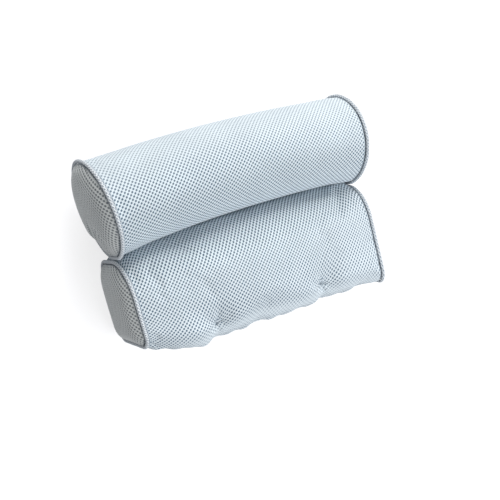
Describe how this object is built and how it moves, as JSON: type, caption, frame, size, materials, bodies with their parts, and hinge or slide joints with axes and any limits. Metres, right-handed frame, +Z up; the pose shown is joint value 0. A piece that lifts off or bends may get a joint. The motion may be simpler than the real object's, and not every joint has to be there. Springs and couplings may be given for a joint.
{
  "type": "bath pillow",
  "caption": "Bath pillow in pale blue open mesh: a padded roll hinged above a padded neck rest, with piped ends, sewn tufts and suction cups behind.",
  "frame": {"origin": "middle of the pillow's length and height, on the surface that it lies on", "axes": "+X along the roll, +Y from the pad's foot to the roll, +Z up out of the front that the head rests on"},
  "size_m": [0.3702, 0.24, 0.1228],
  "materials": {
    "mesh_cloth": "matte",
    "end_cloth": "matte",
    "piping_cloth": "matte",
    "piping_cord": "matte",
    "fibre_filling": "matte",
    "thread": "matte",
    "hinge_tape": "matte",
    "clear_vinyl": "gloss"
  },
  "bodies": {
    "pad": {"pad_sleeve": "mesh_cloth", "pad_filling": "fibre_filling", "pad_end_left": "end_cloth", "pad_end_right": "end_cloth", "pad_piping_left": "piping_cloth", "pad_piping_right": "piping_cloth", "pad_piping_cord_left": "piping_cord", "pad_piping_cord_right": "piping_cord", "tuft_thread_left": "thread", "tuft_thread_right": "thread", "hinge_tape_pad": "hinge_tape"},
    "roll": {"roll_sleeve": "mesh_cloth", "roll_filling": "fibre_filling", "roll_end_left": "end_cloth", "roll_end_right": "end_cloth", "roll_piping_left": "piping_cloth", "roll_piping_right": "piping_cloth", "roll_piping_cord_left": "piping_cord", "roll_piping_cord_right": "piping_cord", "hinge_tape_roll": "hinge_tape"},
    "cup_left": {"suction_cup_left": "clear_vinyl"},
    "cup_right": {"suction_cup_right": "clear_vinyl"}
  },
  "joints": [
    {"name": "roll_fold", "type": "hinge", "parent": "pad", "child": "roll", "pos_m": [0, 0.00601, 0.00855], "axis": [-1, 0, 0], "range_deg": [0, 100]},
    {"name": "cup_left_tilt", "type": "hinge", "parent": "pad", "child": "cup_left", "pos_m": [-0.074, -0.09999, 0.01265], "axis": [1, 0, 0], "range_deg": [-15, 15]},
    {"name": "cup_right_tilt", "type": "hinge", "parent": "pad", "child": "cup_right", "pos_m": [0.074, -0.09999, 0.01265], "axis": [1, 0, 0], "range_deg": [-15, 15]}
  ]
}
